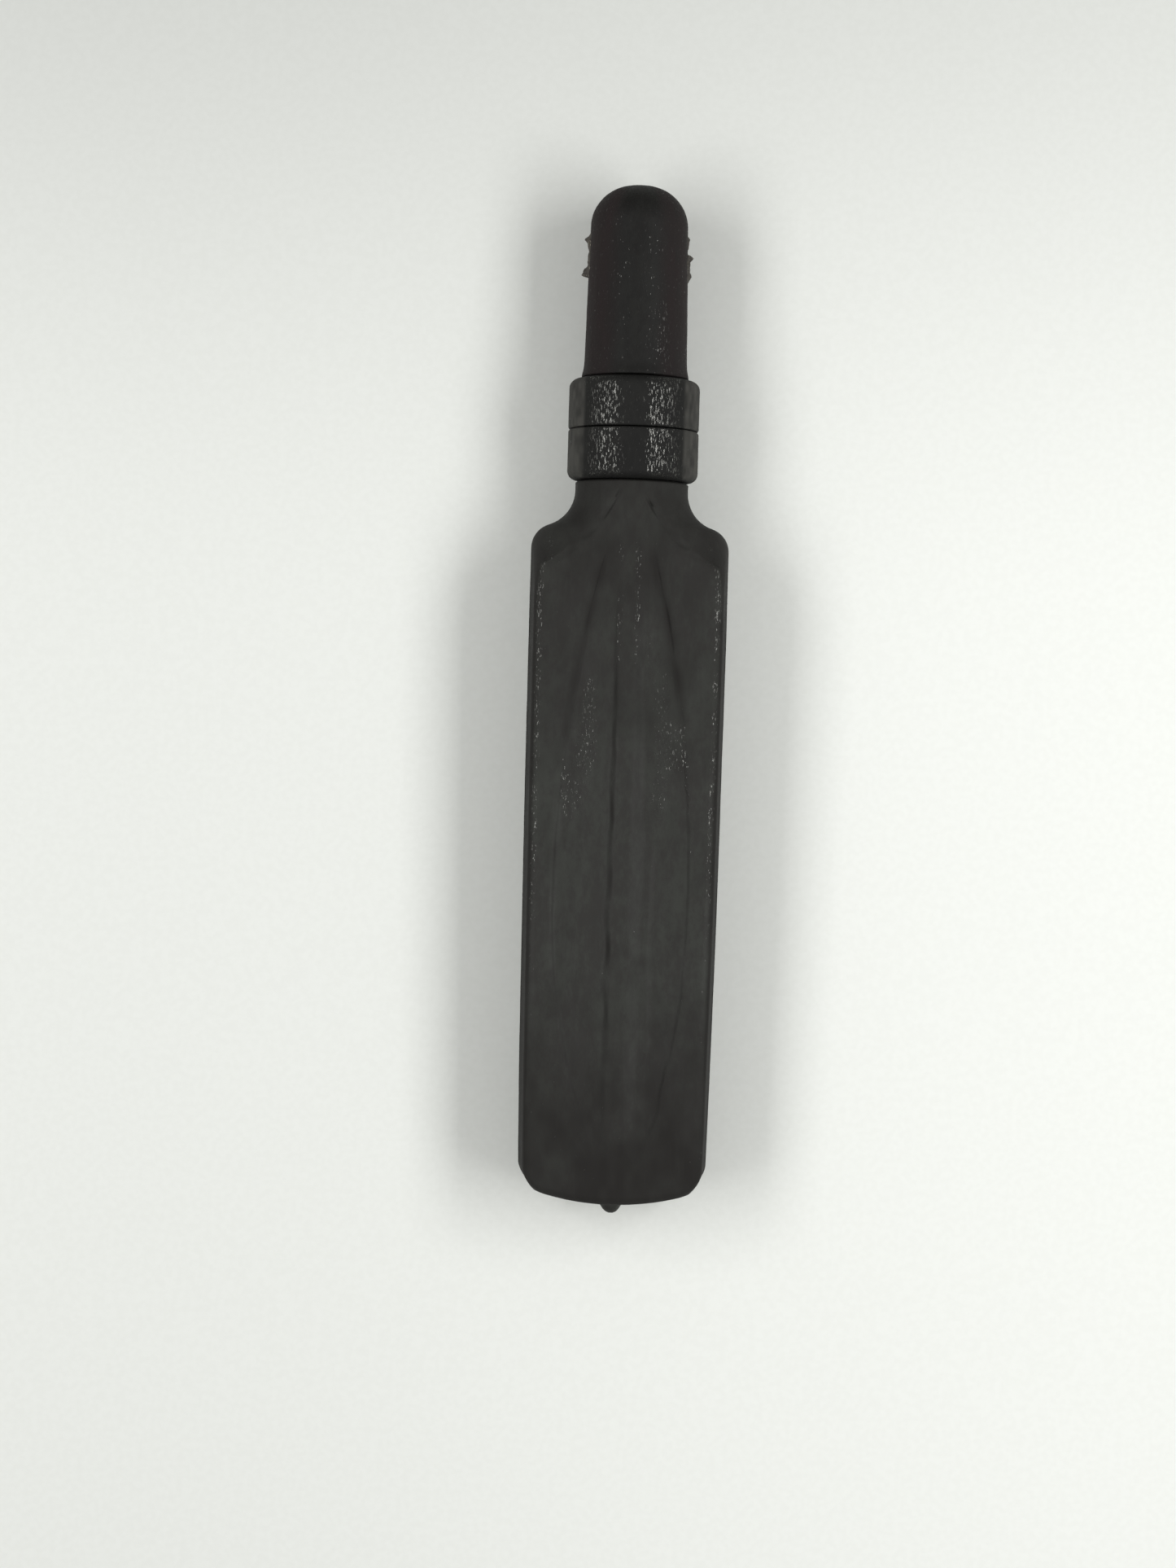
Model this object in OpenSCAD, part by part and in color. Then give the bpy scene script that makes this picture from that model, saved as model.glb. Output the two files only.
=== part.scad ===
// Bone folder in dark moulded plastic: a thick folding blade with a leaf-shaped
// recess and a central rib on each face, a collar of two rings, and a round-ended
// grip. The blade's spigot carries both rings and ends in a tenon inside the grip.
//
// Frame: the tool lies on its collar. +Y runs from the blade's end to the grip,
// +X is across the blade and +Z is up. The origin is under the middle of the tool,
// level with the collar's lowest line. Sizes are in millimetres.

/* [Tool] */
// Length from the blade's end to the top of the grip, without the gate stub
tool_length = 100; // [98:1:104]

/* [Blade] */
// Width of the blade below its shoulders
blade_width = 19.3; // [18.7:0.1:20]
// Width of the blade near its end
end_width = 18.4; // [17.8:0.1:18.6]
// How far the sides bulge past straight lines, across the whole width
side_bulge = 0.25; // [0:0.05:0.4]
// Thickness between the two flat faces
blade_thickness = 10; // [9.6:0.2:10.4]
// Radius of the rounding along the edges of the faces
edge_radius = 1; // [0.8:0.1:1.6]
// Mould draft of the sides, either way from the parting line
draft_angle = 6; // [3:1:8]
// Radius of the end's long curve
end_curve = 25; // [22:1:40]
// Radius of the two corners of the end
end_corner = 2.8; // [2.4:0.1:3.6]

/* [Shoulders and neck] */
// Radius of the neck at its waist
neck_radius = 5.5; // [5.3:0.1:5.8]
// Distance of the waist from the blade's end
waist_at = 70.1; // [69.6:0.1:70.5]
// Radius of the shoulder's outer curve
shoulder_outer = 2.4; // [2:0.1:2.8]
// Radius of the shoulder's inner curve
shoulder_inner = 3.6; // [3.2:0.1:4]

/* [Leaf recess] */
// Half width of the leaf at its widest place
leaf_half = 6.85; // [6:0.05:7.1]
// Distance of the widest place from the blade's end
leaf_at = 30; // [28:1:32]
// Distance of the leaf's grip-side tip from the blade's end
leaf_top = 66; // [62:1:66]
// Distance of the leaf's other tip from the blade's end
leaf_bottom = 4; // [4:1:6]
// Depth of the recess beside the rib
leaf_depth = 0.5; // [0.3:0.05:0.8]
// Half width of the rib's flat top
rib_half = 0.6; // [0.4:0.05:0.65]

/* [Collar] */
// Radius of both rings
collar_radius = 6.4; // [6.2:0.1:6.8]
// Distance of the collar's lower end from the blade's end
collar_at = 71.1; // [71:0.1:71.5]
// Length of each ring
ring_length = 4.95; // [4.6:0.05:5.2]
// Rounding of the collar's two outer ends
ring_outer_round = 0.9; // [0.5:0.1:1.2]
// Rounding of the two ends that face each other
ring_inner_round = 0.3; // [0.2:0.05:0.4]

/* [Grip] */
// Radius of the grip where it meets the collar
grip_radius = 5; // [4.8:0.1:5.2]
// Radius of the grip below its dome
grip_top_radius = 4.72; // [4.5:0.02:4.8]
// Radius of the rounding of the grip's end
dome_radius = 4; // [3:0.1:4.3]

/* [Fit] */
// Radius of the spigot inside the rings
spigot_radius = 4.2; // [4:0.1:4.4]
// Radius of the tenon inside the grip
tenon_radius = 3; // [2.6:0.1:3.2]
// Length of the tenon
tenon_length = 12; // [8:1:13]
// Gap all round the spigot and the tenon
fit_gap = 0.02; // [0.02:0.01:0.05]

/* [Moulding marks] */
// Length of the gate stub on the blade's end
stub_length = 1; // [0.5:0.1:1.2]
// Height of the two gate scars on the grip's sides
scar_height = 0.45; // [0.2:0.05:0.6]

/* [Hidden] */
$fn = 96;

plastic = [0.20, 0.20, 0.19];
ring_plastic = [0.24, 0.24, 0.22];

face_height = blade_thickness / 2;
neck_height = 5.3;
draft = tan(draft_angle);
rib_foot = rib_half + 0.2;

upper_ring_at = collar_at + ring_length;
grip_at = upper_ring_at + ring_length;

// The shoulder is two arcs that touch: one bulges out and one curves in to the waist.
outer_centre_x = blade_width / 2 - shoulder_outer;
inner_centre_x = neck_radius + shoulder_inner;
arcs_apart = shoulder_outer + shoulder_inner;
shoulder_at = waist_at - sqrt(pow(arcs_apart, 2) - pow(inner_centre_x - outer_centre_x, 2));
arcs_meet_at = shoulder_at + (waist_at - shoulder_at) * shoulder_outer / arcs_apart;

// The end is drawn straight between its corner arcs, then bent to its long curve. The bend
// dies out along the blade.
corner_centre_x = end_width / 2 - end_corner;
bend_reach = 8;

// Beside the shoulders the flat face narrows along an arc, down to a strip along the neck.
face_arc = 14.1;
face_arc_x = 14.2;
face_arc_at = 75.4;
face_strip_half = 1.1;

// The rounding is a quarter turn on the blade. It stops short of that beside the shoulders
// and on the neck, so that it meets the flat face in a crease.
quarter_turn = 90;
creased_turn = 66;

// Distances from the end at which the blade's outline and section are worked out.
arc_steps = 5;
STATIONS = concat(
    [0, 0.03, 0.1, 0.25, 0.42, 0.6, 0.85, 1.15, 1.42, 1.8, 2.3, 3, leaf_bottom],
    [for (s = [6 : 4 : 58]) s],
    [60, 61.5, 62.5, 63.2, 63.8],
    [for (s = [64.4 : 0.5 : 69.9]) s],
    [70.4, collar_at]
);

function mix(a, b, t) = a + (b - a) * t;
function clamp01(t) = min(1, max(0, t));
function smooth(t) = let (c = clamp01(t)) c * c * (3 - 2 * c);
function leg(radius, side) = sqrt(max(0, radius * radius - side * side));

// Half width along the side, which bulges a little, from its foot (t = 0) to the shoulder (t = 1).
function side(t) = mix(end_width, blade_width, t) / 2 + 2 * side_bulge * t * (1 - t);

// Half width of the outline at distance s from the end.
function half_width(s) =
    s < end_corner ? corner_centre_x + leg(end_corner, end_corner - s)
    : s < shoulder_at ? side((s - end_corner) / (shoulder_at - end_corner))
    : s < arcs_meet_at ? outer_centre_x + leg(shoulder_outer, s - shoulder_at)
    : s < waist_at ? inner_centre_x - leg(shoulder_inner, waist_at - s)
    : neck_radius;

// How far the bend moves a point at [x, s] along the blade.
function bend(x, s) = (end_curve - leg(end_curve, x)) * (1 - smooth(s / bend_reach));

// Half thickness at s: the end's drafted face, its rounding, the faces and the neck.
function half_height(s) =
    let (wall = face_height - edge_radius, lean = draft * wall)
    s < lean ? mix(1, wall, s / lean)
    : s < lean + edge_radius ? wall + leg(edge_radius, lean + edge_radius - s)
    : mix(face_height, neck_height, smooth((s - leaf_top) / (waist_at - leaf_top)));

// Height of the rounding at s: the edge radius on the blade, nearly all of the neck.
function round_height(s) =
    min(0.9 * half_height(s), mix(edge_radius, face_height, smooth((s - 60) / 6)));

// Half width of the flat face at s.
function half_face(s) =
    let (on_blade = half_width(s) - draft * face_height - edge_radius,
         to_neck = face_arc_x - leg(face_arc, face_arc_at - s))
    max(face_strip_half, s < face_arc_at - face_arc ? on_blade : min(on_blade, to_neck));

// Degrees that the rounding turns through at s.
function turn_of(s) = mix(quarter_turn, creased_turn, smooth((s - 62) / 2.5));

// Share of the leaf's width and depth that is left at s: 1 at the widest place, 0 at the tips.
function leaf_share(s) =
    let (reach = s > leaf_at ? leaf_top - leaf_at : leaf_at - leaf_bottom)
    max(0, 1 - pow((s - leaf_at) / reach, 2));

// One quarter of the section at s, from the parting line to the rib's middle, as [x, z].
function quarter(s) =
    let (w = half_width(s), h = half_height(s), r = round_height(s), f = half_face(s),
         wall_x = w - draft * (h - r), turn = turn_of(s), k = leaf_share(s),
         edge = rib_foot + max(0.2, (leaf_half - rib_foot) * k))
    concat(
        [[w, 0]],
        [for (i = [0 : arc_steps]) let (a = turn * i / arc_steps)
            [mix(f, wall_x, (cos(a) - cos(turn)) / (1 - cos(turn))), h - r + r * sin(a) / sin(turn)]],
        [[mix(f, edge, 0.3), h],
         [mix(f, edge, 0.65), h],
         [edge, h],
         [mix(edge, rib_foot, 0.2), h - 0.39 * leaf_depth * k],
         [mix(edge, rib_foot, 0.5), h - 0.78 * leaf_depth * k],
         [rib_foot, h - leaf_depth * k],
         [rib_half, h],
         [0, h]]
    );

function reversed(list) = [for (i = [len(list) - 1 : -1 : 0]) list[i]];
function inner(list) = [for (i = [1 : len(list) - 2]) list[i]];

// The whole section at s: right to left over the top, then back along the underside.
function section(s) =
    let (right = quarter(s),
         left = reversed([for (p = inner(concat([[0, 0]], right))) [-p[0], p[1]]]),
         over = concat(right, left),
         under = reversed([for (p = inner(over)) [p[0], -p[1]]]))
    [for (p = concat(over, under)) [p[0], s + bend(p[0], s), p[1]]];

// Triangles that close a curved first ring, between each point over the top and the one
// below it. The ring starts and turns back on the parting line.
function first_cap(n) =
    let (half = n / 2)
    concat(
        [for (i = [0 : half - 2]) [n - i - 1, i + 1, i]],
        [for (i = [1 : half - 1]) [n - i, n - i - 1, i]]
    );

// A solid through equal-length rings of points, closed at both ends.
module loft(rings) {
    n = len(rings[0]);
    last = len(rings) - 1;
    polyhedron(
        points = [for (r = rings) for (p = r) p],
        faces = concat(
            first_cap(n),
            [for (k = [0 : last - 1]) for (i = [0 : n - 1])
                let (j = (i + 1) % n)
                each [[k * n + i, k * n + j, (k + 1) * n + j],
                      [k * n + i, (k + 1) * n + j, (k + 1) * n + i]]],
            [[for (i = [0 : n - 1]) last * n + i]]
        ),
        convexity = 6
    );
}

// Moves shapes from the tool's axis, measured from the blade's end, into the frame.
module place() {
    translate([0, -(tool_length - stub_length) / 2, collar_radius]) children();
}

// Stands shapes that are drawn along +Z on the tool's axis, at distance s from the end.
module on_axis(s) {
    translate([0, s, 0]) rotate([-90, 0, 0]) children();
}

module gate_stub() {
    translate([0, 0.4, 0]) rotate([90, 0, 0])
        cylinder(h = stub_length + 0.4, r1 = 1.2, r2 = 0.75);
}

module folding_blade() {
    color(plastic) place() {
        loft([for (s = STATIONS) section(s)]);
        on_axis(collar_at - 1)
            cylinder(h = grip_at - collar_at + 1, r = spigot_radius);
        on_axis(grip_at - 1)
            cylinder(h = tenon_length + 1, r = tenon_radius);
        gate_stub();
    }
}

// A ring's half profile: radius across, length up, with its two outer edges rounded.
module ring_profile(low_round, high_round) {
    bore = spigot_radius + fit_gap;
    translate([bore, 0]) square([collar_radius - bore - max(low_round, high_round), ring_length]);
    translate([bore, low_round])
        square([collar_radius - bore, ring_length - low_round - high_round]);
    translate([bore, 0]) square([collar_radius - bore - low_round, low_round]);
    translate([bore, ring_length - high_round])
        square([collar_radius - bore - high_round, high_round]);
    translate([collar_radius - low_round, low_round]) circle(low_round);
    translate([collar_radius - high_round, ring_length - high_round]) circle(high_round);
}

module collar_ring(s, low_round, high_round) {
    color(ring_plastic) place() on_axis(s)
        rotate_extrude() ring_profile(low_round, high_round);
}

module lower_collar_ring() {
    collar_ring(collar_at, ring_outer_round, ring_inner_round);
}

module upper_collar_ring() {
    collar_ring(upper_ring_at, ring_inner_round, ring_outer_round);
}

// The grip's half profile, from the collar up to its domed end.
module grip_profile(height) {
    dome_at = height - dome_radius;
    polygon([[0, 0], [grip_radius, 0], [grip_top_radius, dome_at], [0, dome_at]]);
    square([grip_top_radius - dome_radius, height]);
    intersection() {
        translate([grip_top_radius - dome_radius, dome_at]) circle(dome_radius);
        square([grip_top_radius, height]);
    }
}

// The low ridges that the gates left on the parting line, one on each side.
module gate_scars() {
    scar_at = 91.2;
    scar_length = 3.8;
    for (side = [-1, 1])
        translate([side * (grip_top_radius - 0.5), scar_at, 0])
            translate([side > 0 ? 0 : -0.5 - scar_height, 0, -0.35])
                cube([0.5 + scar_height, scar_length, 0.7]);
}

module round_end_grip() {
    height = tool_length - grip_at;
    color(plastic) place() {
        difference() {
            on_axis(grip_at) rotate_extrude() grip_profile(height);
            on_axis(grip_at - 1)
                cylinder(h = tenon_length + 1.3, r = tenon_radius + fit_gap);
        }
        gate_scars();
    }
}

folding_blade();
lower_collar_ring();
upper_collar_ring();
round_end_grip();
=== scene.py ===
"""The looks of a dark moulded bone folder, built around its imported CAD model.

Shapes are worked out in millimetres on the tool's own axis: s runs along it from the
blade's end, x is across the blade and z is through its thickness. place() puts them
into the frame, in metres. Every CAD node is replaced by a finer mesh of the same size.
"""

import math

import bmesh
import bpy
import numpy as np
from mathutils import Matrix, Vector


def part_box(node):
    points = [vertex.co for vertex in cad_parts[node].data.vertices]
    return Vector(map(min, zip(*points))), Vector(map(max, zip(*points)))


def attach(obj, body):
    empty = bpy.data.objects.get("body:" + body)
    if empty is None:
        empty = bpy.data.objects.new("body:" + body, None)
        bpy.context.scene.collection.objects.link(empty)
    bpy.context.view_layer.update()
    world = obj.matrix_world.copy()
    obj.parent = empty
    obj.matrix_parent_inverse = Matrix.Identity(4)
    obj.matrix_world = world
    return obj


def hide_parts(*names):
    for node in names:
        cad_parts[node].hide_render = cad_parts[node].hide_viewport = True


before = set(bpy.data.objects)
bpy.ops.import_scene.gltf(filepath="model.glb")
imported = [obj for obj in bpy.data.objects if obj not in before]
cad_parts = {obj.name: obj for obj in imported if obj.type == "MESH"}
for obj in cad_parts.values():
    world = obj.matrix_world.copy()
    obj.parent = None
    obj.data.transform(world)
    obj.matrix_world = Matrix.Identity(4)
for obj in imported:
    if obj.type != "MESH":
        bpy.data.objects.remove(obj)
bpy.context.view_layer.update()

MM = 0.001

# ---- Driving sizes, in millimetres, as the CAD model has them ----
TOOL_LENGTH = 100.0
BLADE_WIDTH = 19.3
END_WIDTH = 18.4
SIDE_BULGE = 0.25
THICKNESS = 10.0
EDGE_RADIUS = 1.0
DRAFT = math.tan(math.radians(6))
END_CURVE = 25.0
END_CORNER = 2.8
BEND_REACH = 8.0
NECK_RADIUS = 5.5
NECK_HEIGHT = 5.3
WAIST_AT = 70.1
SHOULDER_OUTER = 2.4
SHOULDER_INNER = 3.6
FACE_ARC = 14.1
FACE_ARC_X = 14.2
FACE_ARC_AT = 75.4
FACE_STRIP_HALF = 1.1
QUARTER_TURN = 90
CREASED_TURN = 66
LEAF_HALF = 6.85
LEAF_AT = 30.0
LEAF_TOP = 66.0
LEAF_BOTTOM = 4.0
LEAF_DEPTH = 0.5
RIB_HALF = 0.6
COLLAR_RADIUS = 6.4
COLLAR_AT = 71.1
RING_LENGTH = 4.95
RING_OUTER_ROUND = 0.9
RING_INNER_ROUND = 0.3
BORE_RADIUS = 4.22
GRIP_AT = COLLAR_AT + 2 * RING_LENGTH
GRIP_RADIUS = 5.0
GRIP_TOP_RADIUS = 4.72
DOME_RADIUS = 4.0
DOME_AT = TOOL_LENGTH - DOME_RADIUS

# ---- Sizes of the finer detail, which only this script makes, in millimetres ----

# Where the rib's walls reach the floor, from the axis: on its left, and on its softer right
# side before and after a change along the blade. They wander a little on the way.
RIB_FOOT = 1.65
RIB_SOFT_FOOT = 2.6
RIB_SOFT_FOOT_HIGH = 1.95
RIB_CHANGE_AT = 34
RIB_CHANGE_REACH = 14
RIB_WANDER = 0.35
# The moulds' parting line, and the reliefs that leave the dark joint lines.
PARTING_RIDGE = 0.05
RELIEF_DEPTH = 0.5
NECK_RELIEF = 0.15
GRIP_RELIEF = 0.24
RING_SLIT = 0.06

# The frame says where the tool lies: its tip and the height of its axis.
GRIP_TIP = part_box("round_end_grip")[1].y / MM
AXIS_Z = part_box("lower_collar_ring")[1].z / MM - COLLAR_RADIUS


def place(points):
    """Points on the tool's axis, in millimetres, as frame points in metres."""
    return (np.asarray(points, float) + (0, GRIP_TIP - TOOL_LENGTH, AXIS_Z)) * MM


# ---- Small maths ----

def mix(a, b, t):
    """From a, where t is 0, to b, where t is 1."""
    return a + (b - a) * t


def smooth(t):
    """t held between 0 and 1, with a soft start and end."""
    t = np.clip(t, 0, 1)
    return t * t * (3 - 2 * t)


def rise(value, start, reach):
    """0 up to start, 1 past start + reach, and smooth between."""
    return smooth((value - start) / reach)


def fall(value, start, reach):
    """1 up to start, 0 past start + reach, and smooth between."""
    return 1 - rise(value, start, reach)


def bell(value, centre, width):
    """1 at the centre, dying out within about twice the width."""
    return np.exp(-((value - centre) / width) ** 2)


def run(start, end, steps):
    """Even steps from start that stop one short of end."""
    return np.linspace(start, end, steps, endpoint=False)


def leg(radius, side):
    """The other short side of a right triangle whose longest side is the radius."""
    return np.sqrt(np.maximum(0, radius * radius - side * side))


def lattice(cell, seed):
    """A repeatable random number from -1 to 1 for each whole-numbered cell."""
    h = cell[..., 0] * 374761393 + cell[..., 1] * 668265263 + cell[..., 2] * 1440662683 + seed * 974634777
    h &= 0xFFFFFFFF
    h = ((h ^ (h >> 13)) * 1274126177) & 0xFFFFFFFF
    h ^= h >> 16
    return (h & 0xFFFF) / 32767.5 - 1


def noise(points, size, seed):
    """Smooth noise from -1 to 1 at points, with cells of that size along x, s and z."""
    q = np.asarray(points, float) / np.asarray(size, float)
    base = np.floor(q).astype(np.int64)
    t = smooth(q - base)
    total = 0.0
    for corner in np.ndindex(2, 2, 2):
        c = np.array(corner)
        weight = np.prod(np.where(c == 1, t, 1 - t), axis=-1)
        total = total + weight * lattice(base + c, seed)
    return total


# ---- The blade's outline and section ----

OUTER_X = BLADE_WIDTH / 2 - SHOULDER_OUTER
INNER_X = NECK_RADIUS + SHOULDER_INNER
ARCS = SHOULDER_OUTER + SHOULDER_INNER
SHOULDER_AT = WAIST_AT - math.sqrt(ARCS ** 2 - (INNER_X - OUTER_X) ** 2)
ARCS_MEET = SHOULDER_AT + (WAIST_AT - SHOULDER_AT) * SHOULDER_OUTER / ARCS
CORNER_X = END_WIDTH / 2 - END_CORNER

# Where the edge's rounding starts to grow into the neck's, and the most of the half thickness
# it takes. Where the creases start, and how soon they are whole.
NECK_STARTS = 60.0
ROUNDING_MOST = 0.9
CREASES_START = 62.0
CREASES_REACH = 2.5
# The recess starts with a short slope, which takes this share of its depth.
LEAF_SLOPE = 0.52
LEAF_SLOPE_SHARE = 0.36
# The least width of the recess beside the rib, and of the flat face round it, and the most
# of the width inside its edge that the rib's wall takes.
LEAF_LEAST = 0.1
BORDER_LEAST = 0.05
RIB_WALL_MOST = 0.9

# How many steps each stretch of a quarter of the section has. Next to the parting line the
# points lie at these shares of the wall's height, and the even steps follow.
BY_PARTING = (0, 0.012, 0.025, 0.045)
PAST_PARTING = 0.09
PARTING_WIDTH = 0.07
WALL_STEPS = 5
ROUNDING_STEPS = 16
BORDER_STEPS = 8
FLOOR_STEPS = 36
RIB_WALL_STEPS = 8
RIB_TOP_STEPS = 3


def half_width(s):
    """Half width of the outline at s."""
    if s < END_CORNER:
        return CORNER_X + leg(END_CORNER, END_CORNER - s)
    if s < SHOULDER_AT:
        t = (s - END_CORNER) / (SHOULDER_AT - END_CORNER)
        return mix(END_WIDTH, BLADE_WIDTH, t) / 2 + 2 * SIDE_BULGE * t * (1 - t)
    if s < ARCS_MEET:
        return OUTER_X + leg(SHOULDER_OUTER, s - SHOULDER_AT)
    if s < WAIST_AT:
        return INNER_X - leg(SHOULDER_INNER, WAIST_AT - s)
    return NECK_RADIUS


def bend(x, s):
    """How far the end's long curve moves points along the blade. It dies out away from the end."""
    return (END_CURVE - leg(END_CURVE, x)) * fall(s, 0, BEND_REACH)


def half_height(s):
    """Half thickness at s: the drafted end, its rounding, the faces and the neck."""
    wall = THICKNESS / 2 - EDGE_RADIUS
    lean = DRAFT * wall
    if s < lean:
        return mix(1, wall, s / lean)
    if s < lean + EDGE_RADIUS:
        return wall + leg(EDGE_RADIUS, lean + EDGE_RADIUS - s)
    return mix(THICKNESS / 2, NECK_HEIGHT, rise(s, LEAF_TOP, WAIST_AT - LEAF_TOP))


def round_height(s):
    """Height of the rounding at s: the edge radius on the blade, nearly all of the neck."""
    wanted = mix(EDGE_RADIUS, THICKNESS / 2, rise(s, NECK_STARTS, LEAF_TOP - NECK_STARTS))
    return min(ROUNDING_MOST * half_height(s), wanted)


def half_face(s):
    """Half width of the flat face at s."""
    on_blade = half_width(s) - DRAFT * THICKNESS / 2 - EDGE_RADIUS
    if s < FACE_ARC_AT - FACE_ARC:
        return max(FACE_STRIP_HALF, on_blade)
    to_neck = FACE_ARC_X - leg(FACE_ARC, FACE_ARC_AT - s)
    return max(FACE_STRIP_HALF, min(on_blade, to_neck))


def turn_of(s):
    """How far the rounding turns at s, in radians. Below a quarter turn it meets the face in a crease."""
    return math.radians(mix(QUARTER_TURN, CREASED_TURN, rise(s, CREASES_START, CREASES_REACH)))


def leaf_share(s):
    """Share of the leaf's width and depth left at s: 1 at its widest place, 0 at its tips."""
    reach = np.where(s > LEAF_AT, LEAF_TOP - LEAF_AT, LEAF_AT - LEAF_BOTTOM)
    return np.maximum(0, 1 - ((s - LEAF_AT) / reach) ** 2)


def leaf_depth(x, edge, foot, share):
    """Depth of the recess at each x: a short slope in from its edge, a scooped floor and the rib's wall."""
    slope = smooth(np.minimum(edge - x, edge - foot) / LEAF_SLOPE)
    scoop = 1 - (1 - np.clip((edge - x) / (edge - foot), 0, 1)) ** 2
    floor = mix(scoop, slope, LEAF_SLOPE_SHARE)
    wall = np.where(x < foot, rise(x, RIB_HALF, foot - RIB_HALF), 1)
    return LEAF_DEPTH * share * (2 - share) * floor * wall


def quarter(s, foot):
    """One quarter of the section at s, from the parting line to the rib's middle, as (x, z).

    foot is how far from the axis the rib's wall reaches the recess's floor.
    """
    w, h, r, f = half_width(s), half_height(s), round_height(s), half_face(s)
    wall_x = w - DRAFT * (h - r)
    up = np.concatenate([BY_PARTING, run(PAST_PARTING, 1, WALL_STEPS)])
    ridge = PARTING_RIDGE * bell((h - r) * up, 0, PARTING_WIDTH)
    wall = np.stack([mix(w, wall_x, up) + ridge, (h - r) * up], 1)
    turn = turn_of(s)
    angle = run(0, turn, ROUNDING_STEPS)
    out = (np.cos(angle) - math.cos(turn)) / (1 - math.cos(turn))
    rounding = np.stack([mix(f, wall_x, out), h - r + r * np.sin(angle) / math.sin(turn)], 1)
    share = leaf_share(s)
    edge = foot + max(LEAF_LEAST, (LEAF_HALF - foot) * share)
    outer = min(f - BORDER_LEAST, edge)
    inner = min(foot, RIB_WALL_MOST * outer)
    x = np.concatenate([
        run(f, outer, BORDER_STEPS),
        run(outer, inner, FLOOR_STEPS),
        run(inner, RIB_HALF, RIB_WALL_STEPS),
        np.linspace(RIB_HALF, 0, RIB_TOP_STEPS + 1),
    ])
    face = np.stack([x, h - leaf_depth(x, edge, foot, share)], 1)
    return np.concatenate([wall, rounding, face])


def uneven(foot, s, seed):
    """The rib's foot at s, which wanders a little along the blade."""
    return foot + RIB_WANDER * float(noise((0, s, 0), (1, 3.2, 1), seed))


def section(s):
    """The whole section at s, right to left over the top and back along the underside."""
    soft_foot = mix(RIB_SOFT_FOOT, RIB_SOFT_FOOT_HIGH, rise(s, RIB_CHANGE_AT, RIB_CHANGE_REACH))
    right = quarter(s, uneven(soft_foot, s, 9))
    left = quarter(s, uneven(RIB_FOOT, s, 8))[-2::-1] * (-1, 1)
    over = np.concatenate([right, left])
    under = over[-2:0:-1] * (1, -1)
    ring = np.concatenate([over, under])
    return np.stack([ring[:, 0], s + bend(ring[:, 0], s), ring[:, 1]], 1)


# ---- Meshes ----

def normals_of(rings):
    """Outward normals of a grid of points whose rings close on themselves."""
    around = np.roll(rings, -1, 1) - np.roll(rings, 1, 1)
    along = np.gradient(rings, axis=0)
    n = np.cross(along, around)
    size = np.linalg.norm(n, axis=-1, keepdims=True)
    n = n / np.maximum(size, 1e-9)
    middle = rings.mean(1, keepdims=True)
    side = np.sign(((rings - middle) * n).sum(-1).mean())
    return n * side


def worn(rings, layers):
    """The grid, raised along its normals by layers of noise: (height, cell size, seed, share)."""
    n = normals_of(rings)
    lift = 0.0
    for height, size, seed, share in layers:
        lift = lift + height * share * noise(rings, size, seed)
    return rings + n * lift[..., None]


def quads(rings, closed=False):
    """Faces between neighbouring rings of a grid. closed also joins its last ring to its first."""
    count, around = rings.shape[:2]
    k, i = np.meshgrid(np.arange(count if closed else count - 1), np.arange(around), indexing="ij")
    j = (i + 1) % around
    n = (k + 1) % count
    corners = [k * around + i, k * around + j, n * around + j, n * around + i]
    return np.stack(corners, -1).reshape(-1, 4).tolist()


def strips(around):
    """Faces that close the first ring, each between two points over the top and the two below them."""
    half = around // 2
    faces = [[i, i + 1, around - i - 1, around - i] for i in range(1, half - 1)]
    faces.append([0, 1, around - 1])
    faces.append([half - 1, half, half + 1])
    return faces


def grid_object(name, rings, material, node=None, wear=None, shade=None):
    """A piece made of a grid of rings, closed at both ends."""
    count, around = rings.shape[:2]
    last = list(range((count - 1) * around, count * around))
    faces = quads(rings) + strips(around) + [last]
    return mesh_object(name, rings, faces, material, node, wear, shade)


def mesh_object(name, rings, faces, material, node=None, wear=None, shade=None):
    """A mesh piece that rides on the tool.

    From 0 to 1 at each point, wear says how thickly bright flecks lie and shade how far the tone goes to
    the material's shaded tone: mostly painted shade on the blade, and painted reflection and sheen on the
    rings' and grip's sides.
    """
    mesh = bpy.data.meshes.new(name)
    mesh.from_pydata(place(rings.reshape(-1, 3)).tolist(), [], faces)
    for label, values in (("wear", wear), ("shade", shade)):
        attribute = mesh.attributes.new(label, "FLOAT", "POINT")
        if values is not None:
            attribute.data.foreach_set("value", np.clip(values, 0, 1).astype(np.float32).ravel())
    bm = bmesh.new()
    bm.from_mesh(mesh)
    bmesh.ops.recalc_face_normals(bm, faces=bm.faces)
    for face in bm.faces:
        face.smooth = len(face.verts) <= 4
    bm.to_mesh(mesh)
    bm.free()
    mesh.materials.append(material)
    obj = bpy.data.objects.new(name, mesh)
    bpy.context.scene.collection.objects.link(obj)
    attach(obj, "root")
    if node:
        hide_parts(node)
    return obj


def turned(profile, steps):
    """A profile of (radius, s) turned about the tool's axis, as a grid of rings."""
    profile = np.asarray(profile, float)
    angle = run(0, 2 * math.pi, steps)
    x = profile[:, :1] * np.cos(angle)
    z = profile[:, :1] * np.sin(angle)
    s = np.repeat(profile[:, 1:2], steps, 1)
    return np.stack([x, s, z], -1)


def radius_of(rings):
    """How far each point is from the tool's axis."""
    return np.hypot(rings[..., 0], rings[..., 2])


def arc(centre, radius, start, end, steps):
    """Points on an arc, as (radius from the axis, s); angles in degrees, 0 pointing outwards."""
    a = np.radians(np.linspace(start, end, steps))
    return np.stack([centre[0] + radius * np.cos(a), centre[1] + radius * np.sin(a)], 1)


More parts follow.
